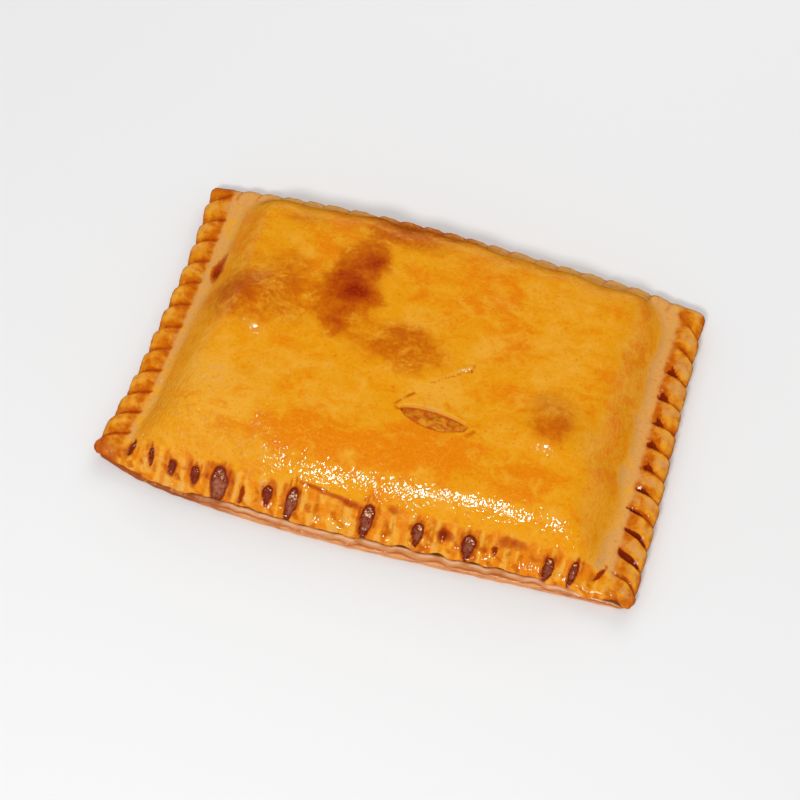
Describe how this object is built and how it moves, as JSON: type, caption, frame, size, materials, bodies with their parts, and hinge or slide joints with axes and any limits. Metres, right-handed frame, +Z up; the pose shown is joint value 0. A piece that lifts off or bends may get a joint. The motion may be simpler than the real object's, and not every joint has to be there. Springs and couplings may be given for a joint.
{
  "type": "empanada",
  "caption": "Baked rectangular empanada with a low domed, egg-washed crust, a crimped rope rim, pinch marks along the front, and a small open cut showing the filling.",
  "frame": {"origin": "on the surface it rests on, under the middle of the whole piece's box", "axes": "+X along the long side, to the right as seen from the front; +Y to the back; +Z up"},
  "size_m": [0.3034, 0.2054, 0.0424],
  "materials": {
    "pale_dough": "baked dough, paler than the top, satin, with an orange line along its edge",
    "filling": "moist oily filling in golden orange shreds",
    "golden_crust": "egg-washed golden crust, glossy, browned in spots and paler in the channel inside the rim"
  },
  "bodies": {
    "root": {"pastry_base": "pale_dough", "filling": "filling", "pastry_lid": "golden_crust"}
  },
  "joints": []
}
